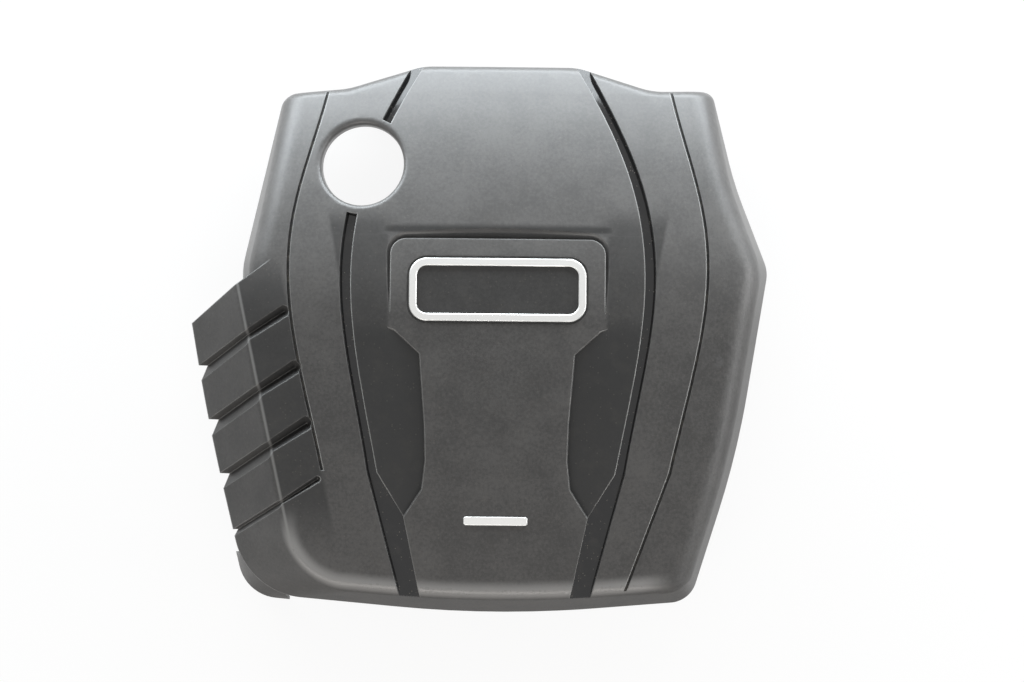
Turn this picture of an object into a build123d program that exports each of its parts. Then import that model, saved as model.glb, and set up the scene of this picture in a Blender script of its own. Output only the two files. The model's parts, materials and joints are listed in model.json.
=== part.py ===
"""Engine cover: one crowned moulding with a slatted wing, clipped on by four rubber ball sockets.

Millimetres. The cover lies open side down: X across, Y from the front lip (-) to the back (+), Z up,
the feet on Z = 0. Plan sizes are taken from the long axis of the face, which runs along Y.
"""
from build123d import *
import math
import os

os.makedirs("parts", exist_ok=True)

# Face: the crown of the moulding
AXIS_X = 17.9            # long axis of the face, from the middle of the whole cover
AXIS_Y = -0.7
APEX_Z = 120.0           # highest line of the crown
APEX_Y = 20.0            # where the flat front half turns into the falling back half
FRONT_RADIUS = 2400.0    # crown along Y, front half
REAR_RADIUS = 520.0      # crown along Y, back half
CROSS_RADIUS = 1300.0    # crown across X
WALL = 3.0

# Walls: plan corners at the rim (x, y, radius low down, radius high up, draft of the wall after it)
RIM_Z = 40.0
LOW_Z = 10.0             # the walls are drawn on below the rim and above the crown, then trimmed
HIGH_Z = 128.0
REAR_DRAFT = 4.0
SIDE_DRAFT = 15.0
FRONT_DRAFT = 18.0
WING_DRAFT = 44.0
REAR_Y = 257.4
SHOULDER_Y = 235.4
FRONT_Y = -260.0
FRONT_SLOPE = 0.086
BODY = (
    (-204, 230, 0, 0, REAR_DRAFT),
    (-142, SHOULDER_Y, 70, 70, REAR_DRAFT),
    (-72, REAR_Y, 55, 55, REAR_DRAFT),
    (72, REAR_Y, 55, 55, REAR_DRAFT),
    (142, SHOULDER_Y, 70, 70, REAR_DRAFT),
    (200, 237, 0, 0, SIDE_DRAFT),
    (222, 150, 330, 330, SIDE_DRAFT),
    (254.5, 68, 4, 110, SIDE_DRAFT),
    (227, -105, 800, 800, SIDE_DRAFT),
    (184, FRONT_Y + 184 * FRONT_SLOPE, 0, 0, FRONT_DRAFT),
    (0, FRONT_Y, 1100, 1100, FRONT_DRAFT),
    (-190, FRONT_Y + 190 * FRONT_SLOPE, 0, 0, SIDE_DRAFT),
    (-243, 62, 60, 110, SIDE_DRAFT),
)
CORNER_BITE = 0.3        # how far a trimmed corner bites past the walls it joins
TRIMMED = {0: 17.0, 9: 28.0}  # plan radius cut onto a bare corner: rear left, front right
WING_CORNER = 70.0       # plan radius of the front left corner
WING = (
    (-60, 160, 0, 0, 0),
    (-60, FRONT_Y + 60 * FRONT_SLOPE, 0, 0, FRONT_DRAFT),
    (-234, FRONT_Y + 234 * FRONT_SLOPE, WING_CORNER, WING_CORNER, WING_DRAFT),
    (-272.5, -82, 2000, 2000, WING_DRAFT),
    (-315, 160, 0, 0, 0),
)
WING_SPLIT_X = -120.0    # the wing takes over from the body left of this line
WING_END = (-210.6, 70)  # a point on the wing's slanted back face
WING_END_ANGLE = 35.6
SIDE_ROLL = 30.0
REAR_ROLL = 12.0
FRONT_ROLL = 14.0

# Sunk details: plan points right of the axis, mirrored for the left
CHANNEL_DEPTH = 6.0
CHANNEL_INNER = ((64, 268), (98.5, 203), (125, 130), (133.5, 60), (124, -36), (108, -120))
CHANNEL_TIP = (83.5, -160.5)
CHANNEL_OUTER = ((76, 268), (108, 203), (135, 130), (143.5, 60), (132.5, -36), (117, -120))
CHANNEL_FRONT = (62, 79)  # inner and outer edge just past the front lip
GROOVE_DEPTH = 1.6
GROOVE_WIDTH = 2.6
GROOVE = ((157, 250), (170, 188), (188, 111), (191, 60), (179, -27), (158, -119))
GROOVE_FRONT = (112, -245)
HEAD_WIDTH = 194.0       # plateau head, across
HEAD_TOP_Y = 92.0
HEAD_FOOT_Y = 14.0
HEAD_CORNER = 14.0
BAND_DEPTH = 7.5         # drop of the wall above the head
BAND_FALL = 0.125        # how fast the foot of that wall climbs back to the crown
BAND_SPREAD = 1.2        # width of the wall for each millimetre of its height
BAND_CLEAR = 0.3         # the head stands this far out over the foot of the wall, for a clean cut
NECK = ((93, 9), (70, -12), (65, -75), (64, -109), (67, -135))
POCKET_RIM = ((96, -146), (106.5, -122), (106.5, 14))
POCKET_HINGE = ((100, 14), (105, -120))  # the pocket floor tilts down from this line to the neck
POCKET_TILT = 8.0
HOLE_X, HOLE_Y = -125.2, 160.2
HOLE_R = 38.0
HOLE_ROLL = 5.0
HOLE_LAND = 46.0
HOLE_TUBE = 14.0

# Slats on the wing
SLAT_COUNT = 4
SLAT_START = (-195, 25)
SLAT_STEP = (10.9, -50.8)
SLAT_ANGLE = 33.0
SLAT_DEPTH = 7.0
SLAT_HALF = 5.0
SLAT_START_Z = 104.6
SLAT_INNER = 39.4        # plan length of the inner half
SLAT_FALL = 0.972        # drop of the outer half for each millimetre in plan
CREASE_Z = 100.2

# Feet, ribs and sockets
FOOT_FLARE = 9.0
FOOT_CORNER = 40.0
FOOT_END = (-199.0, -206.0)
SKIRT_INSET = 1.0
SKIRT_CORNER = 14.0
SIDE_SKIRT = (-140.0, 30.0)
REAR_SKIRT = (-130.0, 130.0)
RIB_WIDTH = 2.2
RIB_HEIGHT = 8.0
RIB_X = (-60.0, 0.0, 60.0)
RIB_Y = (-190.0, -100.0, -10.0, 125.0)
SOCKETS = {
    "front_left": (-112, -150),
    "front_right": (112, -150),
    "rear_left": (-165, 70),
    "rear_right": (165, 70),
}
TOWER_R = 16.0
PLATE_Z = 46.0           # underside of the plate that holds a socket
PLATE = 3.0
NECK_R = 8.0
BALL_R = 5.0
CUP_R = 11.5
CUP_HEIGHT = 15.0

# Badge frame and bar
BADGE_SIZE = (160.0, 57.0)
BADGE_CORNER = 16.0
BADGE_BAND = 7.0
BADGE_Y = 46.0
BADGE_SINK = 1.2
BADGE_PROUD = 1.8
BADGE_CHAMFER = 0.8
BAR_SIZE = (58.0, 8.0)
BAR_Y = -163.0
BAR_PROUD = 1.4
BAR_CHAMFER = 0.6

FACE = Location((AXIS_X, AXIS_Y, 0))
FAR = 400.0


def wall_corners(corners, z, grow=None):
    """Plan corners at height z; each wall steps in by its own draft and stays parallel."""
    steps = []
    for (x0, y0, _, _, draft), (x1, y1, *_) in zip(corners, corners[1:] + corners[:1]):
        length = math.hypot(x1 - x0, y1 - y0)
        step = -grow if grow is not None else (z - RIM_Z) * math.tan(math.radians(draft))
        steps.append(((y1 - y0) / length, (x0 - x1) / length, step))
    points = []
    for i, (x, y, *_) in enumerate(corners):
        (ax, ay, p), (bx, by, q) = steps[i - 1], steps[i]
        det = ax * by - ay * bx
        points.append((x + (p * by - q * ay) / det, y + (q * ax - p * bx) / det))
    return points


def outline(corners, z, inset, grow=None, radius=None):
    """Plan of the walls at height z, with its corners rounded."""
    points = wall_corners(corners, z, grow)
    radii = []
    for _, _, low, high, _ in corners:
        turn = low + (high - low) * (z - LOW_Z) / (HIGH_Z - LOW_Z) if grow is None else low
        radii.append(radius if radius and low else turn)
    with BuildSketch(Plane.XY.offset(z)) as plan:
        with BuildLine():
            FilletPolyline(*points, radius=radii, close=True)
        make_face()
        if inset:
            offset(amount=-inset, kind=Kind.INTERSECTION)
    return plan.sketch


def crown_point(x, y):
    """The point of the crown surface over a point of the plan."""
    radius = FRONT_RADIUS if y < APEX_Y else REAR_RADIUS
    sag = CROSS_RADIUS - math.sqrt(CROSS_RADIUS**2 - x**2)
    return Vector(x, y, APEX_Z - radius + math.sqrt((radius - sag) ** 2 - (y - APEX_Y) ** 2))


def above(level):
    """Everything over the crown surface moved up by level."""
    reach = math.asin(380 / CROSS_RADIUS)
    radius = CROSS_RADIUS + level
    side = (radius * math.sin(reach), APEX_Z - CROSS_RADIUS + radius * math.cos(reach))
    top = APEX_Z + 110
    with BuildPart() as air:
        with BuildSketch(Plane.XZ.offset(-APEX_Y)) as cross:
            with BuildLine():
                ThreePointArc((-side[0], side[1]), (0, APEX_Z + level), side)
                Polyline(side, (side[0], top), (-side[0], top), (-side[0], side[1]))
            make_face()
        revolve(axis=Axis((0, APEX_Y, APEX_Z - FRONT_RADIUS), (1, 0, 0)), revolution_arc=9)
        add(cross.sketch)
        revolve(axis=Axis((0, APEX_Y, APEX_Z - REAR_RADIUS), (1, 0, 0)), revolution_arc=-40)
    return air.part


def border(faces):
    """The edges that bound a group of faces."""
    edges = [e for f in faces for e in f.edges()]
    return ShapeList(e for e in edges if sum(e.is_same(o) for o in edges) == 1)


def crown_edges(part):
    """The edges that bound the crown surface."""
    return border(part.faces().filter_by(GeomType.REVOLUTION) + part.faces().filter_by(GeomType.TORUS))


def top_edges(part):
    """The edges that bound the upper face of a plate."""
    return border(part.faces().filter_by(lambda f: f.normal_at().Z > 0.8))


def corner_trim(index, inset):
    """What falls away where a bare corner of the body is cut round."""
    radius = TRIMMED[index] - inset
    with BuildPart() as waste:
        for z in (LOW_Z, HIGH_Z):
            points = [Vector(*p) for p in wall_corners(BODY, z)]
            tip = points[index]
            back = (points[index - 1] - tip).normalized()
            ahead = (points[index + 1] - tip).normalized()
            inward = (back + ahead).normalized()
            half = math.radians(back.get_angle(ahead)) / 2
            tip += inward * inset / math.sin(half)
            middle = tip + inward * (radius / math.sin(half) - CORNER_BITE)
            reach = radius / math.tan(half)
            start = tip + back * reach
            end = tip + ahead * reach
            with BuildSketch(Plane.XY.offset(z)):
                with BuildLine():
                    Polyline(start, start - inward * FAR / 8, tip - inward * FAR / 5, end - inward * FAR / 8, end)
                    ThreePointArc(start, middle - inward * radius, end)
                make_face()
        loft(ruled=True)
    return waste.part


def body_form(inset):
    """Main form: drafted walls under the crown, with rolled shoulders."""
    with BuildPart() as form:
        loft([outline(BODY, LOW_Z, inset), outline(BODY, HIGH_Z, inset)], ruled=True)
        add(above(-inset), mode=Mode.SUBTRACT)
        edges = crown_edges(form.part)
        fillet([e for e in edges if abs(e.center().X) > 150 and -195 < e.center().Y < 224], SIDE_ROLL - inset)
        fillet([e for e in crown_edges(form.part) if e.center().Y > 212], REAR_ROLL - inset)
        fillet([e for e in crown_edges(form.part) if e.center().Y < -205], FRONT_ROLL - inset)
        for index in TRIMMED:
            add(corner_trim(index, inset), mode=Mode.SUBTRACT)
    return form.part


def wing_form(inset):
    """Left wing: the flared wall that carries the slats and turns the front left corner."""
    with BuildPart() as form:
        loft([outline(WING, LOW_Z, inset), outline(WING, HIGH_Z, inset)], ruled=True)
        add(above(-inset), mode=Mode.SUBTRACT)
        edges = crown_edges(form.part)
        fillet([e for e in edges if e.center().X < -66 and e.center().Y < 140], FRONT_ROLL - inset)
    return form.part


def wing_zone(inset):
    """The part of the plan that belongs to the wing."""
    rise = math.tan(math.radians(WING_END_ANGLE))
    drop = inset / math.cos(math.radians(WING_END_ANGLE))
    with BuildPart() as zone:
        with BuildSketch():
            with BuildLine():
                Polyline(
                    (WING_SPLIT_X, WING_END[1] - drop + rise * (WING_SPLIT_X - WING_END[0])),
                    (WING_SPLIT_X, -FAR),
                    (-FAR, -FAR),
                    (-FAR, WING_END[1] - drop + rise * (-FAR - WING_END[0])),
                    close=True,
                )
            make_face()
        extrude(amount=200)
    return zone.part


def form(inset):
    """Whole outside form, or the same moved in by a wall."""
    with BuildPart() as wing:
        add(wing_form(inset))
        add(wing_zone(inset), mode=Mode.INTERSECT)
    with BuildPart() as whole:
        add(body_form(inset))
        add(wing_zone(inset), mode=Mode.SUBTRACT)
        add(wing.part)
        if not inset:
            split(bisect_by=Plane.XY.offset(RIM_Z), keep=Keep.TOP)
    return whole.part


def column(plan, level, tilt=0.0, hinge=None):
    """The air over a plan shape, down to the crown moved by level, tilted about a hinge line."""
    with BuildPart() as tool:
        add(plan)
        extrude(amount=200)
        air = above(level)
        if hinge:
            air = air.rotate(hinge, tilt)
        add(air, mode=Mode.INTERSECT)
    return tool.part


def channel_plan(grow):
    end = -FAR * 0.66
    with BuildSketch() as plan:
        with BuildLine():
            inner = Spline(*[(x - grow, y) for x, y in CHANNEL_INNER])
            outer = Spline(*[(x + grow, y) for x, y in CHANNEL_OUTER])
            Polyline(inner @ 1, (CHANNEL_TIP[0] - grow, CHANNEL_TIP[1]), (CHANNEL_FRONT[0] - grow, end),
                     (CHANNEL_FRONT[1] + grow, end), outer @ 1)
            Line(inner @ 0, outer @ 0)
        make_face()
    return plan.sketch


def groove_plan(side):
    half = GROOVE_WIDTH / 2
    with BuildSketch() as plan:
        with BuildLine():
            near = Spline(*[(side * (x - half), y) for x, y in GROOVE])
            far = Spline(*[(side * (x + half), y) for x, y in GROOVE])
            Line(near @ 0, far @ 0)
            if side > 0:
                x, y = GROOVE_FRONT
                Polyline(near @ 1, (x - half, y), (x + half, y), far @ 1)
            else:
                Line(near @ 1, far @ 1)
        make_face()
    return plan.sketch


def head_plan(level, grow):
    """Outline of the plateau head, on the foot of its wall or a level over it."""
    edge = crown_point(0, HEAD_TOP_Y) - Vector(0, 0, BAND_DEPTH)
    foot = Plane(edge, x_dir=(1, 0, 0), z_dir=(0, BAND_FALL, 1))
    deep = HEAD_TOP_Y - HEAD_FOOT_Y
    with BuildSketch(foot.offset(level)) as plan:
        with Locations((0, grow)):
            Rectangle(HEAD_WIDTH + 2 * grow, deep + grow, align=(Align.CENTER, Align.MAX))
        fillet(plan.vertices().group_by(Axis.Y)[-1], HEAD_CORNER + grow)
    return plan.sketch


def band(grow):
    """The wall that falls from the crown to the plateau head, round its top and sides."""
    height = 2.4 * BAND_DEPTH
    with BuildPart() as cut:
        loft([head_plan(-grow, grow), head_plan(height, grow + BAND_SPREAD * height)], ruled=True)
        extrude(head_plan(-grow - 1, BAND_CLEAR - grow), amount=2 * height, dir=(0, 0, 1), mode=Mode.SUBTRACT)
    return cut.part


def pocket_plan(grow):
    with BuildSketch() as plan:
        with BuildLine():
            Polyline(*NECK, CHANNEL_TIP, *POCKET_RIM, close=True)
        make_face()
        if grow:
            offset(amount=grow, kind=Kind.INTERSECTION)
    return plan.sketch


def slat_cutter(grow):
    """V grooves that climb across the wing and bend with it at the crease."""
    along = Vector(math.cos(math.radians(SLAT_ANGLE)), math.sin(math.radians(SLAT_ANGLE)), 0)
    down = Vector(-along.X, -along.Y, -SLAT_FALL)
    with BuildPart() as cutter:
        for i in range(SLAT_COUNT):
            last = i == SLAT_COUNT - 1
            deep = SLAT_DEPTH * (0.6 if last else 1) + 1.4 * grow
            half = SLAT_HALF * (0.5 if last else 1) + grow
            start = Vector(SLAT_START[0] + i * SLAT_STEP[0], SLAT_START[1] + i * SLAT_STEP[1], SLAT_START_Z)
            bend = start - along * SLAT_INNER - Vector(0, 0, SLAT_START_Z - CREASE_Z)
            with BuildSketch(Plane(origin=bend, x_dir=(-along.Y, along.X, 0), z_dir=along)) as vee:
                with BuildLine():
                    Polyline((-2.4 * half, 1.4 * deep), (0, -deep), (2.4 * half, 1.4 * deep), close=True)
                make_face()
            extrude(vee.sketch, amount=(start - bend).length, dir=start - bend)
            extrude(vee.sketch, amount=130, dir=down)
            with Locations(start + Vector(0, 0, 0.2 * deep)):
                Cone(bottom_radius=0, top_radius=2.4 * half, height=2.4 * deep)
    return cutter.part


def disc(x, y, radius, low=0.0, height=200.0):
    with BuildPart() as post:
        with Locations((x, y, low)):
            Cylinder(radius, height, align=(Align.CENTER, Align.CENTER, Align.MIN))
    return post.part


def sunk(grow):
    """All that is pressed deep into the skin, or the same grown by a wall."""
    back, front = [crown_point(x, y) for x, y in POCKET_HINGE]
    hinge = Axis(back, front - back)
    with BuildPart() as tools:
        add(column(channel_plan(grow), -CHANNEL_DEPTH - grow))
        add(column(pocket_plan(grow), -grow, POCKET_TILT, hinge))
        mirror(about=Plane.YZ)
        add(disc(HOLE_X, HOLE_Y, HOLE_LAND - grow), mode=Mode.SUBTRACT)
        add(band(grow))
        add(slat_cutter(grow))
    return tools.part


def badge_plan(grow):
    with BuildSketch() as plan:
        with Locations((0, BADGE_Y)):
            RectangleRounded(BADGE_SIZE[0] + 2 * grow, BADGE_SIZE[1] + 2 * grow, BADGE_CORNER + grow)
    return plan.sketch


def plate(plan, low, high):
    """A plan shape between two levels of the crown."""
    with BuildPart() as slab:
        add(column(plan, low))
        add(above(high), mode=Mode.SUBTRACT)
    return slab.part


def stretch(x0, x1, y0, y1):
    """A block that picks one stretch of a skirt."""
    with BuildPart() as block:
        with Locations(((x0 + x1) / 2, (y0 + y1) / 2, 0)):
            Box(x1 - x0, y1 - y0, 120)
    return block.part


def tab_zone(plane, start, end):
    """A block with round lower corners that picks one stretch of a skirt."""
    with BuildPart() as block:
        with BuildSketch(plane) as side:
            with Locations(((start + end) / 2, 0)):
                Rectangle(end - start, RIM_Z + 20, align=(Align.CENTER, Align.MIN))
            fillet(side.vertices().group_by(Axis.Y)[0], SKIRT_CORNER)
        extrude(amount=FAR)
    return block.part


def skirt(zone):
    """Upright wall under the body's rim, down to the table."""
    with BuildSketch() as ring:
        add(outline(BODY, 0, SKIRT_INSET, 0))
        add(outline(BODY, 0, SKIRT_INSET + WALL, 0), mode=Mode.SUBTRACT)
    with BuildPart() as wall:
        add(ring.sketch)
        extrude(amount=RIM_Z + 1)
        add(zone, mode=Mode.INTERSECT)
    return wall.part


# Skin: the outside form with its pressed details, still solid
with BuildPart() as skin:
    add(form(0))
    add(sunk(0), mode=Mode.SUBTRACT)
    add(column(groove_plan(1), -GROOVE_DEPTH), mode=Mode.SUBTRACT)
    add(column(groove_plan(-1), -GROOVE_DEPTH), mode=Mode.SUBTRACT)
    add(column(badge_plan(2.0), -BADGE_SINK), mode=Mode.SUBTRACT)
    add(disc(HOLE_X, HOLE_Y, HOLE_R), mode=Mode.SUBTRACT)
    mouth = [
        e
        for e in skin.edges()
        if e.center().Z > RIM_Z + 5
        and e.geom_type != GeomType.LINE
        and all(abs(math.hypot(p.X - HOLE_X, p.Y - HOLE_Y) - HOLE_R) < 0.05 for p in (e @ 0, e @ 0.5, e @ 1))
    ]
    fillet(mouth, HOLE_ROLL)

# Posts and ribs that stay standing in the hollow
with BuildSketch() as rib_plan:
    with Locations(*[(x, 0) for x in RIB_X]):
        Rectangle(RIB_WIDTH, 480)
    with Locations(*[(0, y) for y in RIB_Y]):
        Rectangle(480, RIB_WIDTH)
with BuildPart() as posts:
    add(column(rib_plan.sketch, -WALL - RIB_HEIGHT))
    for x, y in SOCKETS.values():
        with Locations((x, y, PLATE_Z + 14)):
            Box(2 * TOWER_R + 26, RIB_WIDTH, 100, align=(Align.CENTER, Align.CENTER, Align.MIN))
            Box(RIB_WIDTH, 2 * TOWER_R + 26, 100, align=(Align.CENTER, Align.CENTER, Align.MIN))
        add(disc(x, y, TOWER_R, PLATE_Z))
    for x, y in SOCKETS.values():
        add(disc(x, y, TOWER_R - WALL, PLATE_Z + PLATE), mode=Mode.SUBTRACT)
        add(disc(x, y, NECK_R, PLATE_Z - 1), mode=Mode.SUBTRACT)
with BuildSketch() as tube_plan:
    with Locations((HOLE_X, HOLE_Y)):
        Circle(HOLE_R + WALL)

with BuildPart() as hollow:
    add(form(WALL))
    add(sunk(WALL), mode=Mode.SUBTRACT)
    add(column(tube_plan.sketch, -HOLE_TUBE - WALL), mode=Mode.SUBTRACT)
    add(posts.part, mode=Mode.SUBTRACT)

# Front left foot: flares out below the rim
with BuildPart() as foot_core:
    loft(
        [
            outline(WING, 0, WALL, FOOT_FLARE, FOOT_CORNER),
            outline(WING, RIM_Z + 1, SKIRT_INSET + WALL),
        ],
        ruled=True,
    )
with BuildPart() as foot:
    loft([outline(WING, 0, 0, FOOT_FLARE, FOOT_CORNER), outline(WING, RIM_Z + 1, SKIRT_INSET)], ruled=True)
    add(foot_core.part, mode=Mode.SUBTRACT)
    add(stretch(-FAR, FOOT_END[0], -FAR, FOOT_END[1]), mode=Mode.INTERSECT)

with BuildPart() as cover_moulding:
    with Locations(FACE):
        add(skin.part)
        add(hollow.part, mode=Mode.SUBTRACT)
        add(foot.part)
        add(skirt(tab_zone(Plane.YZ.offset(150), *SIDE_SKIRT)))
        add(skirt(tab_zone(Plane.XZ.offset(-150 - FAR), *REAR_SKIRT)))
cover_moulding.part.label = "cover_moulding"
export_step(cover_moulding.part, "parts/cover_moulding.step")

with BuildSketch() as ring_plan:
    add(badge_plan(0))
    add(badge_plan(-BADGE_BAND), mode=Mode.SUBTRACT)
with BuildPart() as badge:
    with Locations(FACE):
        add(plate(ring_plan.sketch, -BADGE_SINK, BADGE_PROUD))
    chamfer(top_edges(badge.part), BADGE_CHAMFER)
badge.part.label = "badge"
export_step(badge.part, "parts/badge.step")

with BuildSketch() as bar_plan:
    with Locations((0, BAR_Y)):
        RectangleRounded(*BAR_SIZE, BAR_SIZE[1] * 0.3)
with BuildPart() as name_bar:
    with Locations(FACE):
        add(plate(bar_plan.sketch, 0, BAR_PROUD))
    chamfer(top_edges(name_bar.part), BAR_CHAMFER)
name_bar.part.label = "name_bar"
export_step(name_bar.part, "parts/name_bar.step")

# Ball socket: a rubber cup that snaps through the plate, open below
with BuildPart() as socket:
    with BuildSketch(Plane.XZ) as half:
        with BuildLine():
            Polyline(
                (0, PLATE_Z + PLATE + 4),
                (NECK_R + 2, PLATE_Z + PLATE + 4),
                (NECK_R + 3, PLATE_Z + PLATE),
                (NECK_R - 0.1, PLATE_Z + PLATE),
                (NECK_R - 0.1, PLATE_Z),
                (CUP_R, PLATE_Z),
                (CUP_R, PLATE_Z - CUP_HEIGHT),
                (BALL_R + 1.5, PLATE_Z - CUP_HEIGHT),
                (BALL_R, PLATE_Z - CUP_HEIGHT + 1.5),
                (BALL_R, PLATE_Z - 3),
                (0, PLATE_Z - 3),
                close=True,
            )
        make_face()
    revolve(axis=Axis.Z)
for name, (x, y) in SOCKETS.items():
    with BuildPart() as grommet:
        with Locations((AXIS_X + x, AXIS_Y + y, 0)):
            add(socket.part)
    grommet.part.label = "grommet_" + name
    export_step(grommet.part, "parts/grommet_" + name + ".step")
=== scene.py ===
# %% [markdown]
# # An engine cover, finished in Blender
#
# The cover is one dark plastic moulding with a silver badge frame and bar on its face and four rubber
# sockets inside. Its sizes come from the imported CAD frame, in metres: X across, Y towards the back edge,
# Z up. Blender adds the finishes, the light and the camera, and never moves or resizes a part.

# %% Load the frame
import json
import math

import bpy
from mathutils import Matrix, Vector

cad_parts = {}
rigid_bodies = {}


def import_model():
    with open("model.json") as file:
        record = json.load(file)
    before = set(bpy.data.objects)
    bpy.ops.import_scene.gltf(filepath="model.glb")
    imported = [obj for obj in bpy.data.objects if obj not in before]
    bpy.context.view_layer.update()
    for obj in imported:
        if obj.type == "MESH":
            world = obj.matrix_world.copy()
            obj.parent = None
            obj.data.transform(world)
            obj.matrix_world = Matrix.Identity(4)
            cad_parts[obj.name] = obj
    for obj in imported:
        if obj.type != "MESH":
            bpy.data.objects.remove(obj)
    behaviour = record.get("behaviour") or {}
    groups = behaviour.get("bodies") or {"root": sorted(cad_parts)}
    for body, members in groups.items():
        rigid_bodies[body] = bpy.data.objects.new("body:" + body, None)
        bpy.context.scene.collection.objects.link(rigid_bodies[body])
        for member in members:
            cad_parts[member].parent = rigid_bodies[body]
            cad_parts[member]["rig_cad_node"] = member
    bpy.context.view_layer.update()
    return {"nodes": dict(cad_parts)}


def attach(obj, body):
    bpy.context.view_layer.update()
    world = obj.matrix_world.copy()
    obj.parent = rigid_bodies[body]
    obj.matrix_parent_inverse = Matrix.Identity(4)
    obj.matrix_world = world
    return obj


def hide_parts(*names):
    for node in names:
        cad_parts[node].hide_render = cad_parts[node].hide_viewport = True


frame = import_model()
print("nodes", sorted(frame["nodes"]))

# %% [markdown]
# ## Camera
#
# The photograph looks straight down on the cover from about 1.7 m. The long axis of the face leans half a
# degree to the right in the picture, so the camera is rolled by that much instead of turning the part.

# %% Camera
CAMERA_PLACE = (0.0313, -0.0007, 1.72)
CAMERA_ROLL = math.radians(0.58)
LENS_MM = 62.5
SENSOR_MM = 36

bpy.ops.object.camera_add(location=CAMERA_PLACE, rotation=(0, 0, CAMERA_ROLL))
camera = bpy.context.object
camera.data.lens = LENS_MM
camera.data.sensor_width = SENSOR_MM
bpy.context.scene.camera = camera
bpy.context.scene.view_settings.view_transform = "Standard"
print("camera", tuple(round(v, 3) for v in camera.location))

# %% [markdown]
# ## Node helpers
#
# Every finish below is a small node tree. These helpers keep the trees short: the first ones make an empty
# material and a node with its inputs, the next do sums on sockets, and the last ones make a node group with
# named sockets and place it in a material. A group holds an effect that several finishes share, so that it
# is built once and set differently in each.

# %% Materials and nodes
WHITE = (1, 1, 1, 1)


def new_material(name):
    """An empty material with its output node."""
    material = bpy.data.materials.new(name)
    material.use_nodes = True
    tree = material.node_tree
    tree.nodes.clear()
    output = tree.nodes.new("ShaderNodeOutputMaterial")
    return material, tree, output


def feed(tree, socket, value):
    """Link another socket to this one, or set a number, vector or colour on it."""
    if isinstance(value, bpy.types.NodeSocket):
        tree.links.new(value, socket)
    else:
        socket.default_value = value


def node(tree, kind, inputs=None, **settings):
    """A node with its settings and what goes into its sockets."""
    made = tree.nodes.new(kind)
    for key, value in settings.items():
        setattr(made, key, value)
    for key, value in (inputs or {}).items():
        feed(tree, made.inputs[key], value)
    return made


def shine(tree, output, inputs):
    """The shader of a finish, on the material's output."""
    shader = node(tree, "ShaderNodeBsdfPrincipled", inputs)
    tree.links.new(shader.outputs[0], output.inputs["Surface"])


print("helpers for materials and nodes")

# %% Sums on sockets
MIX_FIRST, MIX_SECOND, MIX_RESULT = 6, 7, 2    # the colour sockets of a Mix node
SINGLE_VALUE = ("DOT_PRODUCT", "LENGTH")       # vector sums that give a number


def sum_of(tree, operation, first, second=None, clamp=False):
    """A sum on one or two sockets or numbers."""
    made = node(tree, "ShaderNodeMath", operation=operation, use_clamp=clamp)
    feed(tree, made.inputs[0], first)
    if second is not None:
        feed(tree, made.inputs[1], second)
    return made.outputs[0]


def plus(tree, first, second, clamp=False):
    return sum_of(tree, "ADD", first, second, clamp)


def minus(tree, first, second):
    return sum_of(tree, "SUBTRACT", first, second)


def times(tree, first, second):
    return sum_of(tree, "MULTIPLY", first, second)


def larger(tree, first, second):
    return sum_of(tree, "MAXIMUM", first, second)


def vector_sum(tree, operation, first, second=None):
    """A sum on one or two vectors."""
    made = node(tree, "ShaderNodeVectorMath", {0: first}, operation=operation)
    if second is not None:
        feed(tree, made.inputs[1], second)
    return made.outputs["Value" if operation in SINGLE_VALUE else "Vector"]


def spread(tree, value, low, high, to_low=0.0, to_high=1.0):
    """A value mapped smoothly from one range to another, held at the ends."""
    made = node(
        tree, "ShaderNodeMapRange",
        {"Value": value, "From Min": low, "From Max": high, "To Min": to_low, "To Max": to_high},
        interpolation_type="SMOOTHSTEP",
    )
    return made.outputs["Result"]


def blend_colour(tree, mask, first, second):
    """From the first colour to the second as the mask goes from 0 to 1."""
    made = node(tree, "ShaderNodeMix", {"Factor": mask}, data_type="RGBA")
    feed(tree, made.inputs[MIX_FIRST], first)
    feed(tree, made.inputs[MIX_SECOND], second)
    return made.outputs[MIX_RESULT]


def lay_over(tree, colour, *layers):
    """A colour with others laid over it, each with its mask and how much of it shows."""
    for mask, share, layer in layers:
        colour = blend_colour(tree, times(tree, mask, share), colour, layer)
    return colour


print("helpers for sums")

# %% Node groups
FLOAT, VECTOR = "NodeSocketFloat", "NodeSocketVector"


def new_group(name, inputs, outputs):
    """A shader node group with its input and output sockets."""
    group = bpy.data.node_groups.new(name, "ShaderNodeTree")
    for label, kind, value in inputs:
        socket = group.interface.new_socket(label, in_out="INPUT", socket_type=kind)
        socket.default_value = value
    for label, kind in outputs:
        group.interface.new_socket(label, in_out="OUTPUT", socket_type=kind)
    start = group.nodes.new("NodeGroupInput")
    end = group.nodes.new("NodeGroupOutput")
    return group, start.outputs, end.inputs


def use_group(tree, group, **values):
    """A group placed in a material; underscores in a socket's name stand for spaces."""
    made = tree.nodes.new("ShaderNodeGroup")
    made.node_tree = group
    for key, value in values.items():
        made.inputs[key.replace("_", " ")].default_value = value
    return made.outputs


print("helpers for groups")

# %% [markdown]
# ## Floor and light
#
# The cover lies on a white table in soft light. The floor is plain and pale, and shows most of its own
# white to the camera and to reflections, so that it reads as white but keeps the soft shadow under the
# cover. A large soft box stands low behind the back edge: it makes the falling back half of the crown so
# much brighter than the level front half. Two weak ones draw the rolled edges at the front and on the
# right, and the world adds an even fill.

# %% Floor
FLOOR_SIZE = 8.0
FLOOR_COLOUR = (0.88, 0.88, 0.88, 1)
FLOOR_GLOW = 0.9    # how much of the floor's look is its own white; the rest takes the shadow


def seen_directly(tree):
    """1 for rays from the camera, a reflection or glass, 0 for the light that falls on things."""
    path = node(tree, "ShaderNodeLightPath").outputs
    either = larger(tree, path["Is Camera Ray"], path["Is Glossy Ray"])
    return larger(tree, either, path["Is Transmission Ray"])


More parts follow.
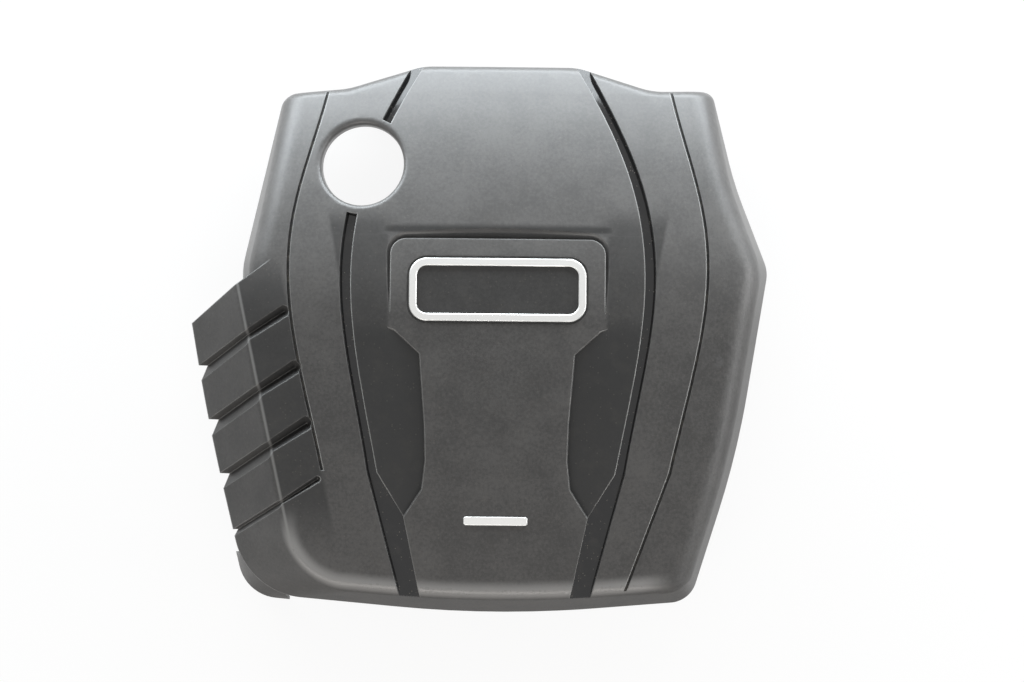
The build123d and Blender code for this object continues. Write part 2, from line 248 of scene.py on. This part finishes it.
floor_paint, tree, output = new_material("floor_paint")
paint = node(tree, "ShaderNodeBsdfDiffuse", {"Color": FLOOR_COLOUR}).outputs[0]
glow = node(tree, "ShaderNodeEmission", {"Color": WHITE, "Strength": 1.0}).outputs[0]
own_white = times(tree, seen_directly(tree), FLOOR_GLOW)
blend = node(tree, "ShaderNodeMixShader", {"Fac": own_white, 1: paint, 2: glow})
tree.links.new(blend.outputs[0], output.inputs["Surface"])

bpy.ops.mesh.primitive_plane_add(size=FLOOR_SIZE)
floor = bpy.context.object
floor.name = "studio_floor"
floor.data.materials.append(floor_paint)
print("floor", FLOOR_SIZE, "m wide")

# %% Lamps and world
FILL = (0.255, 0.25, 0.245, 1)
LAMP_AIM = Vector((0.0, 0.1, 0.1))
SOFT_BOXES = {
    # name: place, size, watts, colour
    "back_box": ((-0.07, 1.11, 0.34), (3.3, 0.62), 66.0, (0.89, 0.955, 1.0)),
    "front_box": ((-0.25, -1.2, 0.95), (1.8, 0.4), 11.0, (1.0, 0.96, 0.92)),
    "right_box": ((1.4, 0.0, 0.42), (1.2, 0.3), 10.0, (1.0, 1.0, 1.0)),
}

for name, (place, size, watts, colour) in SOFT_BOXES.items():
    turn = (LAMP_AIM - Vector(place)).to_track_quat("-Z", "Y").to_euler()
    bpy.ops.object.light_add(type="AREA", location=place, rotation=turn)
    lamp = bpy.context.object
    lamp.name = name
    lamp.data.shape = "RECTANGLE"
    lamp.data.size, lamp.data.size_y = size
    lamp.data.energy = watts
    lamp.data.color = colour
    lamp.visible_camera = False

world = bpy.data.worlds.new("studio")
bpy.context.scene.world = world
world.use_nodes = True
tree = world.node_tree
tree.nodes.clear()
fill = node(tree, "ShaderNodeBackground", {"Color": FILL, "Strength": 1.0}).outputs[0]
backdrop = node(tree, "ShaderNodeBackground", {"Color": WHITE, "Strength": 1.0}).outputs[0]
blend = node(tree, "ShaderNodeMixShader", {"Fac": seen_directly(tree), 1: fill, 2: backdrop})
node(tree, "ShaderNodeOutputWorld", {"Surface": blend.outputs[0]})
print("lamps", list(SOFT_BOXES))

# %% [markdown]
# ## Shared effects
#
# Moulded plastic is never one flat grey. Six effects are shared by the finishes, and each one is a node
# group: the fine grain that the mould leaves, edges that are slightly round and rubbed paler, with a
# painted highlight line on those that lean outwards, a painted highlight along the roll of the front
# shoulder, dust that settles in patches, a soft mark at one place, and the zones of the face that carry
# painted shade or a painted highlight, or are smoother than the rest. Edge rounding is a normal from the
# Bevel node: the real edges have a radius of half a millimetre, too small to be worth a row of faces along
# every edge.
#
# Places on the face are measured from its long axis, as in the CAD model. A pair of numbers is a soft
# border: the effect starts at the first and is full at the second.

# %% Places and noise
FACE_AXIS = Vector((0.0179, -0.0007))


def part_place(tree):
    """The place on the part."""
    return node(tree, "ShaderNodeTexCoord").outputs["Object"]


def xyz(tree, vector):
    """The three numbers of a vector."""
    return node(tree, "ShaderNodeSeparateXYZ", {0: vector}).outputs


def face_place(tree):
    """How far right of the face's long axis a point lies, and how far back."""
    place = xyz(tree, part_place(tree))
    return minus(tree, place[0], FACE_AXIS.x), minus(tree, place[1], FACE_AXIS.y)


def surface_normal(tree):
    """The smooth normal of the mesh."""
    return node(tree, "ShaderNodeNewGeometry").outputs["Normal"]


def noise(tree, place, scale, detail, roughness=0.5):
    """Soft patches, so many to a metre."""
    inputs = {"Vector": place, "Scale": scale, "Detail": detail, "Roughness": roughness}
    return node(tree, "ShaderNodeTexNoise", inputs).outputs["Fac"]


print("face axis", tuple(round(v, 4) for v in FACE_AXIS))

# %% Moulded grain
MOTTLE_FINER = 14.0          # mottles to a patch
TONE_RANGE = (0.65, 1.35)


def moulded_grain():
    """Height of a fine grain, and a tone that wanders in patches."""
    tree, start, end = new_group(
        "moulded_grain",
        [("Cells per metre", FLOAT, 1400.0), ("Patches per metre", FLOAT, 30.0)],
        [("Height", FLOAT), ("Tone", FLOAT)],
    )
    place = part_place(tree)
    cells = node(tree, "ShaderNodeTexVoronoi", {"Vector": place, "Scale": start["Cells per metre"]})
    fine = noise(tree, place, start["Cells per metre"], 2.0)
    tree.links.new(plus(tree, cells.outputs["Distance"], fine), end["Height"])
    patches = noise(tree, place, start["Patches per metre"], 4.0, 0.6)
    mottle = noise(tree, place, times(tree, start["Patches per metre"], MOTTLE_FINER), 2.0, 0.7)
    tree.links.new(spread(tree, plus(tree, patches, mottle), *TONE_RANGE), end["Tone"])
    return tree


grain_group = moulded_grain()
print("group", grain_group.name)

# %% Rubbed edges and painted highlight lines
BEVEL_SAMPLES = 6
RUB_TURN = (0.01, 0.16)      # how far the rounded normal turns from the true one: 0 none, 1 square to it
LINE_TURN = (0.01, 0.09)
OUTWARD_LEAN = (0.05, 0.3)   # how far it leans away from the face's axis
UNEVEN_NOISE = (0.35, 0.65)
LEAST_RUB = 0.35


def edge_rub_and_highlight():
    """Rub on every edge, a painted highlight line on edges that lean outwards, and the rounded normal."""
    tree, start, end = new_group(
        "edge_rub_and_highlight",
        [("Radius", FLOAT, 0.0006), ("Patches per metre", FLOAT, 120.0)],
        [("Rub", FLOAT), ("Line", FLOAT), ("Normal", VECTOR)],
    )
    bevel = node(tree, "ShaderNodeBevel", {"Radius": start["Radius"]}, samples=BEVEL_SAMPLES)
    rounded = bevel.outputs[0]
    turned = minus(tree, 1.0, vector_sum(tree, "DOT_PRODUCT", rounded, surface_normal(tree)))
    patches = noise(tree, part_place(tree), start["Patches per metre"], 3.0)
    uneven = spread(tree, patches, *UNEVEN_NOISE, LEAST_RUB, 1.0)
    tree.links.new(times(tree, spread(tree, turned, *RUB_TURN), uneven), end["Rub"])
    side = sum_of(tree, "SIGN", face_place(tree)[0])
    outward = spread(tree, times(tree, xyz(tree, rounded)[0], side), *OUTWARD_LEAN)
    tree.links.new(times(tree, outward, spread(tree, turned, *LINE_TURN)), end["Line"])
    tree.links.new(rounded, end["Normal"])
    return tree


edge_group = edge_rub_and_highlight()
print("group", edge_group.name)

# %% Painted shoulder highlight and the front wall
SHOULDER_TURN = (-0.1399, -0.1713)   # centre of the front left turn of the shoulder
SHOULDER_BOW = 0.36                  # how strongly the front of the shoulder bows
SHOULDER_EVEN_X = 0.14               # where the bow is level with the turn
ROLL_INNER = (0.038, 0.049)          # the roll, as a distance from the turn
ROLL_OUTER = (0.0585, 0.052)
ROLL_FRONT_Y = (-0.1493, -0.1943)    # it runs along the front and ends before the right side
ROLL_RIGHT_X = (0.1671, 0.1321)
FRONT_FACING = (-0.5, -0.85)         # y of the normal on the front wall


def shoulder_highlight_and_wall():
    """Where a highlight is painted on the rolled shoulder along the front, and the wall below it."""
    tree, start, end = new_group(
        "shoulder_highlight_and_wall", [("Bow", FLOAT, SHOULDER_BOW)], [("Roll", FLOAT), ("Front", FLOAT)]
    )
    x, y = face_place(tree)
    bowed = minus(tree, sum_of(tree, "POWER", x, 2.0), SHOULDER_EVEN_X ** 2)
    straight = minus(tree, y, times(tree, bowed, start["Bow"]))
    left = larger(tree, minus(tree, SHOULDER_TURN[0], x), 0.0)
    ahead = larger(tree, minus(tree, SHOULDER_TURN[1], straight), 0.0)
    past_turn = node(tree, "ShaderNodeCombineXYZ", {0: left, 1: ahead}).outputs[0]
    reach = vector_sum(tree, "LENGTH", past_turn)
    band = times(tree, spread(tree, reach, *ROLL_INNER), spread(tree, reach, *ROLL_OUTER))
    kept = times(tree, spread(tree, y, *ROLL_FRONT_Y), spread(tree, x, *ROLL_RIGHT_X))
    tree.links.new(times(tree, band, kept), end["Roll"])
    facing = xyz(tree, surface_normal(tree))[1]
    tree.links.new(spread(tree, facing, *FRONT_FACING), end["Front"])
    return tree


shoulder_group = shoulder_highlight_and_wall()
print("group", shoulder_group.name)

# %% Settled dust
FILM_NOISE = (0.45, 0.75)
SPECK_KEPT = (0.9, 0.92)     # most cells hold no speck
SPECK_SIZE = (0.35, 0.2)     # as a share of a cell


def settled_dust():
    """A thin film in patches, and single specks."""
    tree, start, end = new_group(
        "settled_dust",
        [("Patches per metre", FLOAT, 90.0), ("Specks per metre", FLOAT, 700.0)],
        [("Film", FLOAT), ("Specks", FLOAT)],
    )
    place = part_place(tree)
    film = noise(tree, place, start["Patches per metre"], 5.0, 0.65)
    tree.links.new(spread(tree, film, *FILM_NOISE), end["Film"])
    cells = node(tree, "ShaderNodeTexVoronoi", {"Vector": place, "Scale": start["Specks per metre"]})
    chance = node(tree, "ShaderNodeSeparateColor", {0: cells.outputs["Color"]}).outputs[0]
    spot = spread(tree, cells.outputs["Distance"], *SPECK_SIZE)
    tree.links.new(times(tree, spread(tree, chance, *SPECK_KEPT), spot), end["Specks"])
    return tree


dust_group = settled_dust()
print("group", dust_group.name)

# %% Soft mark
RAGGED_PER_METRE = 160.0
RAGGED = 0.9
MARK_EDGE = (1.5, 0.8)       # in sizes of the mark, with the raggedness added


def soft_mark():
    """One smudge with a ragged edge."""
    tree, start, end = new_group(
        "soft_mark",
        [("Centre", VECTOR, (0, 0, 0)), ("Size", VECTOR, (0.01, 0.01, 0.01))],
        [("Mask", FLOAT)],
    )
    place = part_place(tree)
    offset = vector_sum(tree, "SUBTRACT", place, start["Centre"])
    away = vector_sum(tree, "LENGTH", vector_sum(tree, "DIVIDE", offset, start["Size"]))
    ragged = times(tree, noise(tree, place, RAGGED_PER_METRE, 3.0), RAGGED)
    tree.links.new(spread(tree, plus(tree, away, ragged), *MARK_EDGE), end["Mask"])
    return tree


mark_group = soft_mark()
print("group", mark_group.name)

# %% [markdown]
# ### Zones of the face
#
# Shade is painted on the panels beside the T-shaped plateau: half dark along its head, fully dark beside
# its stem. Painted shade also darkens the step above the head and the slats, most of all their inner half.
# A thin highlight is painted along the bend across the slats. The back of the face has been wiped smooth,
# and fades to matte towards the middle.

# %% Where the zones lie
CHANNEL_RIM_X = 0.1308               # inner rim of a channel, level with the axis' origin
CHANNEL_LEAN = 0.19                  # how it leans in towards the front
RIM_BORDER = (0.004, 0.0)
HEAD_SIDE_X = (0.0965, 0.1015)       # beside the head of the plateau
HALF_SHADE = 0.62
HALF_SHADE_Y = (0.0995, 0.0945)
FULL_SHADE_Y = (0.045, 0.0)
ABOVE_HEAD_Y = (0.0935, 0.0965)
CORNER_X = (0.08, 0.112)             # the painted shade fades out past the corners of the head
CORNER_Y = (0.1235, 0.1015)
STEP_SHADE = 0.9                     # painted shade on the step above the head
STEP_X = (0.116, 0.096)
STEP_BACK_Y = (0.1075, 0.1015)
STEP_FRONT_Y = (0.0955, 0.0995)
HEAD_LINES = 0.3                     # painted edge highlights are fainter on the head
HEAD_LINES_X = (0.085, 0.1)
SLAT_LINES = 0.35                    # and beside the slats
SLAT_LINES_X = (-0.185, -0.16)
CREASE_X = 0.2272                    # the bend across the slats, left of the axis
CREASE_LEAN = 0.2146
CREASE_WIDTH = (0.0022, 0.0002)
CREASE_BACK_Y = (0.078, 0.07)
CREASE_FRONT_Y = (-0.2, -0.16)
SLATS_RIGHT = (0.046, 0.040)         # the slats, right of the bend
SLATS_BACK_Y = (0.085, 0.045)
SLATS_FRONT_Y = (-0.2, -0.14)
SLATS_FOLD = (0.0, 0.003)
OUTER_SLATS = 0.3                    # painted shade left and right of the bend
INNER_SLATS = 0.85
WIPED_Y = (0.0, 0.11)
print("plateau head ends at", ABOVE_HEAD_Y[1], "m behind the middle")


# %% Face zones
def plateau_shade(tree, sunk, x, y):
    """Painted shade between the two channels: beside the plateau, and above its head."""
    across = sum_of(tree, "ABSOLUTE", x)
    rim = plus(tree, times(tree, y, CHANNEL_LEAN), CHANNEL_RIM_X)
    inside = spread(tree, minus(tree, across, rim), *RIM_BORDER)
    half = spread(tree, y, *HALF_SHADE_Y, 0.0, HALF_SHADE)
    depth = larger(tree, half, spread(tree, y, *FULL_SHADE_Y))
    beside = times(tree, larger(tree, sunk, spread(tree, across, *HEAD_SIDE_X)), depth)
    corner = spread(tree, across, *CORNER_X, 0.0, HALF_SHADE)
    corner = times(tree, corner, spread(tree, y, *CORNER_Y))
    step = spread(tree, y, *STEP_BACK_Y, 0.0, STEP_SHADE)
    step = times(tree, step, spread(tree, y, *STEP_FRONT_Y))
    step = times(tree, step, spread(tree, across, *STEP_X))
    above = times(tree, spread(tree, y, *ABOVE_HEAD_Y), larger(tree, corner, step))
    return times(tree, inside, larger(tree, beside, above))


def slat_shade(tree, y, past_bend):
    """Painted shade on the slats, stronger right of the bend."""
    slats = times(tree, spread(tree, past_bend, *SLATS_RIGHT), spread(tree, y, *SLATS_BACK_Y))
    slats = times(tree, slats, spread(tree, y, *SLATS_FRONT_Y))
    return times(tree, slats, spread(tree, past_bend, *SLATS_FOLD, OUTER_SLATS, INNER_SLATS))


def face_zones():
    """Painted shade, where painted highlight lines show on edges, the painted highlight along the bend
    across the slats, and what is wiped smooth.
    """
    tree, start, end = new_group(
        "face_zones",
        [("Sunk", FLOAT, 0.0)],
        [("Shade", FLOAT), ("Lines", FLOAT), ("Crease", FLOAT), ("Wiped", FLOAT)],
    )
    x, y = face_place(tree)
    beside_plateau = plateau_shade(tree, start["Sunk"], x, y)
    past_bend = plus(tree, x, plus(tree, times(tree, y, CREASE_LEAN), CREASE_X))
    shade = larger(tree, beside_plateau, slat_shade(tree, y, past_bend))
    tree.links.new(shade, end["Shade"])
    on_head = spread(tree, sum_of(tree, "ABSOLUTE", x), *HEAD_LINES_X, HEAD_LINES, 1.0)
    lines = times(tree, spread(tree, x, *SLAT_LINES_X, SLAT_LINES, 1.0), on_head)
    tree.links.new(lines, end["Lines"])
    bent = times(tree, spread(tree, y, *CREASE_BACK_Y), spread(tree, y, *CREASE_FRONT_Y))
    near_bend = spread(tree, sum_of(tree, "ABSOLUTE", past_bend), *CREASE_WIDTH)
    tree.links.new(times(tree, bent, near_bend), end["Crease"])
    matte = larger(tree, start["Sunk"], beside_plateau)
    wiped = times(tree, minus(tree, 1.0, matte), spread(tree, y, *WIPED_Y))
    tree.links.new(wiped, end["Wiped"])
    return tree


zone_group = face_zones()
print("group", zone_group.name)

# %% [markdown]
# ## Plastic finishes
#
# The moulding has one colour and several finishes, with light and shade painted on parts of it. Most of
# the face has a fine matte grain, smoother on the rolled shoulder, which carries a painted highlight, and
# coarser on the wall below it. A thin coat gives the wiped back of the face its sheen. The two long
# channels are polished and almost black. Shade is painted on the pockets and on the panels beside the
# plateau, and the edges that lean out from the plateau carry thin painted highlight lines. The thin grooves
# hold dust.
# Each finish is a material of its own, and the next step gives the faces of the moulding to them.

# %% Plastic colours
PLASTIC_DARK = (0.034, 0.033, 0.032, 1)
PLASTIC_PALE = (0.064, 0.062, 0.060, 1)
# painted shade: beside the plateau, in the pockets, on the step above its head and on the slats
PAINTED_SHADE = (0.008, 0.008, 0.008, 1)
RUBBED_PLASTIC = (0.18, 0.178, 0.174, 1)
# painted highlight along the rolled front shoulder
PAINTED_SHOULDER_HIGHLIGHT = (0.255, 0.252, 0.247, 1)
# painted highlight on edges that lean outwards, and along the bend across the slats
PAINTED_EDGE_HIGHLIGHT = (0.38, 0.38, 0.37, 1)
CHANNEL_BLACK = (0.009, 0.009, 0.0095, 1)
GROOVE_BLACK = (0.016, 0.016, 0.016, 1)
DUST = (0.21, 0.19, 0.16, 1)
SMUDGE = (0.13, 0.13, 0.135, 1)
SMUDGE_PLACE = (0.2187, -0.0173, 0.080)
SMUDGE_SIZE = (0.009, 0.011, 0.03)
PLASTIC_IOR = 1.5
print("plastic from", PLASTIC_DARK[:3], "to", PLASTIC_PALE[:3])

# %% Grained plastic
FACE_ROUGHNESS = (0.43, 0.49)
FRONT_ROUGHER = 0.28         # on the front wall
SHOULDER_SMOOTHER = 0.17     # on the rolled shoulder, which has lost most of its grain
SHOULDER_GRAIN = 0.25
GRAIN_STRENGTH = 0.25
GRAIN_DEPTH = 0.0002


def bumped(tree, height, normal, strength, distance):
    """Grain on top of a rounded normal."""
    inputs = {"Strength": strength, "Distance": distance, "Height": height, "Normal": normal}
    return node(tree, "ShaderNodeBump", inputs).outputs[0]


def face_plastic(name, sunk):
    """The grained plastic of the face, or of what is sunk beside the plateau."""
    material, tree, output = new_material(name)
    grain = use_group(tree, grain_group, Cells_per_metre=1500.0, Patches_per_metre=24.0)
    edges = use_group(tree, edge_group, Radius=0.0019)
    dust = use_group(tree, dust_group, Patches_per_metre=60.0, Specks_per_metre=420.0)
    smudge = use_group(tree, mark_group, Centre=SMUDGE_PLACE, Size=SMUDGE_SIZE)
    zones = use_group(tree, zone_group, Sunk=sunk)
    shoulder = use_group(tree, shoulder_group)
    # The first layer is painted shade; the shoulder roll, the edge lines and the bend are painted
    # highlights; dust, the smudge and the rubbed edges are the plastic's own.
    colour = lay_over(
        tree, blend_colour(tree, grain["Tone"], PLASTIC_DARK, PLASTIC_PALE),
        # mask, how much of it shows, colour
        (zones["Shade"], 0.95, PAINTED_SHADE),
        (dust["Film"], 0.03, DUST),
        (dust["Specks"], 0.1, DUST),
        (smudge["Mask"], 0.6, SMUDGE),
        (edges["Rub"], 0.6, RUBBED_PLASTIC),
        (shoulder["Roll"], 0.9, PAINTED_SHOULDER_HIGHLIGHT),
        (times(tree, edges["Line"], zones["Lines"]), 1.0, PAINTED_EDGE_HIGHLIGHT),
        (zones["Crease"], 0.3, PAINTED_EDGE_HIGHLIGHT),
    )
    roughness = spread(tree, grain["Tone"], 0.0, 1.0, *FACE_ROUGHNESS)
    roughness = plus(tree, roughness, times(tree, shoulder["Front"], FRONT_ROUGHER))
    roughness = minus(tree, roughness, times(tree, shoulder["Roll"], SHOULDER_SMOOTHER))
    kept_grain = spread(tree, shoulder["Roll"], 0.0, 1.0, 1.0, SHOULDER_GRAIN)
    height = times(tree, grain["Height"], kept_grain)
    shine(tree, output, {
        "IOR": PLASTIC_IOR, "Specular IOR Level": 0.42, "Coat IOR": PLASTIC_IOR, "Coat Roughness": 0.45,
        "Base Color": colour,
        "Roughness": roughness,
        "Coat Weight": zones["Wiped"],
        "Normal": bumped(tree, height, edges["Normal"], GRAIN_STRENGTH, GRAIN_DEPTH),
    })
    return material


grained, sunken = face_plastic("grained_plastic", 0.0), face_plastic("sunk_plastic", 1.0)
print("finishes", grained.name, sunken.name)

# %% Polished channels and dusty grooves
CHANNEL_ROUGHNESS = (0.1, 0.26)
GROOVE_ROUGHNESS = (0.55, 0.9)


def channel_gloss():
    """Polished plastic with a little dust on it."""
    material, tree, output = new_material("channel_gloss")
    edges = use_group(tree, edge_group, Radius=0.0009)
    dust = use_group(tree, dust_group, Patches_per_metre=70.0, Specks_per_metre=520.0)
    colour = lay_over(tree, CHANNEL_BLACK, (dust["Specks"], 0.5, DUST), (dust["Film"], 0.06, DUST))
    shine(tree, output, {
        "IOR": PLASTIC_IOR, "Specular IOR Level": 0.5,
        "Base Color": colour,
        "Roughness": spread(tree, dust["Film"], 0.0, 1.0, *CHANNEL_ROUGHNESS),
        "Normal": edges["Normal"],
    })
    return material


def dusty_groove():
    """The floor of a thin groove, under dust."""
    material, tree, output = new_material("dusty_groove")
    dust = use_group(tree, dust_group, Patches_per_metre=140.0, Specks_per_metre=900.0)
    cover = plus(tree, times(tree, dust["Film"], 0.3), times(tree, dust["Specks"], 0.6), clamp=True)
    shine(tree, output, {
        "IOR": PLASTIC_IOR, "Specular IOR Level": 0.3,
        "Base Color": blend_colour(tree, cover, GROOVE_BLACK, DUST),
        "Roughness": spread(tree, cover, 0.0, 1.0, *GROOVE_ROUGHNESS),
    })
    return material


plastics = [grained, channel_gloss(), sunken, dusty_groove()]
GRAINED, POLISHED, SUNK, DUSTY = range(len(plastics))
print("plastics", [material.name for material in plastics])

# %% [markdown]
# ## The moulding
#
# The CAD node is loose triangles, one patch for each face of the solid. A copy is merged into one skin, so
# that shading runs smoothly over the joins between patches, and stands for the node. Which finish a face
# gets follows from how far it lies under the crown and how it is tilted against it: the channel floors lie
# six millimetres down and run with the crown, the pocket floors are tilted.

# %% Copy the moulding
MERGE = 1e-6
SMOOTH_ANGLE = math.radians(28)


def merged_copy(node_name, piece_name):
    """One skin made from the loose triangles of a CAD node."""
    bpy.ops.object.select_all(action="DESELECT")
    source = frame["nodes"][node_name]
    source.select_set(True)
    bpy.context.view_layer.objects.active = source
    bpy.ops.object.duplicate()
    piece = bpy.context.object
    piece.name = piece.data.name = piece_name
    del piece["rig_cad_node"]
    bpy.ops.object.mode_set(mode="EDIT")
    bpy.ops.mesh.select_all(action="SELECT")
    bpy.ops.mesh.customdata_custom_splitnormals_clear()
    bpy.ops.mesh.remove_doubles(threshold=MERGE)
    bpy.ops.object.mode_set(mode="OBJECT")
    bpy.ops.object.shade_smooth_by_angle(angle=SMOOTH_ANGLE)
    modifier = piece.modifiers.new("even_normals", "WEIGHTED_NORMAL")
    modifier.keep_sharp = True
    bpy.ops.object.modifier_apply(modifier=modifier.name)
    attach(piece, "root")
    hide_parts(node_name)
    return piece


cover_skin = merged_copy("cover_moulding", "cover_skin")
print("cover_skin", len(cover_skin.data.polygons), "faces")

# %% Depth under the crown
CROWN_TOP = 0.120            # height of the crown, and where along the axis it is highest
CROWN_TURN_Y = 0.020
CROWN_FRONT_RADIUS = 2.4     # its radius along the axis, in front of that and behind it
CROWN_BACK_RADIUS = 0.52
CROWN_CROSS_RADIUS = 1.3     # and across


def under_crown(point):
    """How deep a point of the face lies under the crown, and the direction square to the crown there."""
    x, y = point.x - FACE_AXIS.x, point.y - FACE_AXIS.y - CROWN_TURN_Y
    radius = CROWN_FRONT_RADIUS if y < 0 else CROWN_BACK_RADIUS
    rise = point.z - CROWN_TOP + radius
    spoke = math.hypot(y, rise)
    cross = spoke - radius + CROWN_CROSS_RADIUS
    normal = Vector((x, cross * y / spoke, cross * rise / spoke)).normalized()
    return CROWN_CROSS_RADIUS - math.hypot(x, cross), normal


lowest = min(face.center.z for face in cover_skin.data.polygons)
print("crown", CROWN_TOP, "m high, skin from", round(lowest, 4))

# %% Give the faces their finish
CHANNEL_DEPTH = 0.006
GROOVE_DEPTH = 0.0016
BADGE_SINK = 0.0012          # the field inside the badge frame
DEPTH_SLACK = 0.00025
POCKET_REACH_X = (0.055, 0.130)
POCKET_REACH_Y = (-0.170, 0.014)
BADGE_REACH_X = 0.085
BADGE_REACH_Y = (0.012, 0.080)
TILTED = math.radians(3.5)
UPRIGHT = math.radians(45)


def finish_of(face):
    """The finish of one face, from its depth under the crown and its tilt against it."""
    x, y = face.center.x - FACE_AXIS.x, face.center.y - FACE_AXIS.y
    depth, normal = under_crown(face.center)
    tilt = face.normal.angle(normal)
    if tilt < TILTED and abs(depth - CHANNEL_DEPTH) < DEPTH_SLACK:
        return POLISHED
    if tilt < TILTED and abs(depth - GROOVE_DEPTH) < DEPTH_SLACK:
        return DUSTY
    in_pocket = POCKET_REACH_X[0] < abs(x) < POCKET_REACH_X[1] and POCKET_REACH_Y[0] < y < POCKET_REACH_Y[1]
    if in_pocket and TILTED < tilt < UPRIGHT:
        return SUNK
    in_badge = abs(x) < BADGE_REACH_X and BADGE_REACH_Y[0] < y < BADGE_REACH_Y[1]
    if in_badge and tilt < TILTED and abs(depth - BADGE_SINK) < DEPTH_SLACK:
        return SUNK
    return GRAINED


cover_skin.data.materials.clear()
for material in plastics:
    cover_skin.data.materials.append(material)
counts = [0] * len(plastics)
for face in cover_skin.data.polygons:
    face.material_index = finish_of(face)
    counts[face.material_index] += 1
print("faces by finish", dict(zip((material.name for material in plastics), counts)))

# %% [markdown]
# ## Silver trim
#
# The badge frame and the bar are plated plastic with a satin sheen.

# %% Silver trim
SILVER_PALE = (0.70, 0.70, 0.685, 1)
SILVER_DULL = (0.50, 0.50, 0.49, 1)
SILVER_ROUGHNESS = (0.36, 0.46)


def satin_silver():
    """Satin plating that dulls in patches."""
    material, tree, output = new_material("satin_plating")
    grain = use_group(tree, grain_group, Cells_per_metre=3000.0, Patches_per_metre=90.0)
    edges = use_group(tree, edge_group, Radius=0.0008)
    shine(tree, output, {
        "Metallic": 1.0,
        "Base Color": lay_over(tree, SILVER_PALE, (grain["Tone"], 0.4, SILVER_DULL)),
        "Roughness": spread(tree, grain["Tone"], 0.0, 1.0, *SILVER_ROUGHNESS),
        "Normal": bumped(tree, grain["Height"], edges["Normal"], 0.06, 0.0001),
    })
    return material


def give(node_name, material):
    """One finish for a whole CAD node."""
    piece = frame["nodes"][node_name]
    piece.data.materials.clear()
    piece.data.materials.append(material)


silver = satin_silver()
for trim in ("badge", "name_bar"):
    give(trim, silver)
print("trim", silver.name)

# %% [markdown]
# ## Rubber sockets
#
# Four soft rubber cups hold the cover on the ball studs of the engine. They are matte black.

# %% Rubber sockets
RUBBER_DARK = (0.012, 0.012, 0.012, 1)
RUBBER_PALE = (0.028, 0.027, 0.026, 1)
RUBBER_ROUGHNESS = (0.68, 0.82)


def socket_rubber():
    """Matte rubber, rubbed a little on its edges."""
    material, tree, output = new_material("matte_rubber")
    grain = use_group(tree, grain_group, Cells_per_metre=1800.0, Patches_per_metre=220.0)
    edges = use_group(tree, edge_group, Radius=0.0006, Patches_per_metre=300.0)
    colour = blend_colour(tree, grain["Tone"], RUBBER_DARK, RUBBER_PALE)
    shine(tree, output, {
        "Specular IOR Level": 0.3,
        "Base Color": lay_over(tree, colour, (edges["Rub"], 0.4, RUBBED_PLASTIC)),
        "Roughness": spread(tree, grain["Tone"], 0.0, 1.0, *RUBBER_ROUGHNESS),
        "Normal": bumped(tree, grain["Height"], edges["Normal"], 0.2, GRAIN_DEPTH),
    })
    return material


rubber = socket_rubber()
sockets = sorted(name for name in frame["nodes"] if name.startswith("grommet"))
for name in sockets:
    give(name, rubber)
print("sockets", sockets)
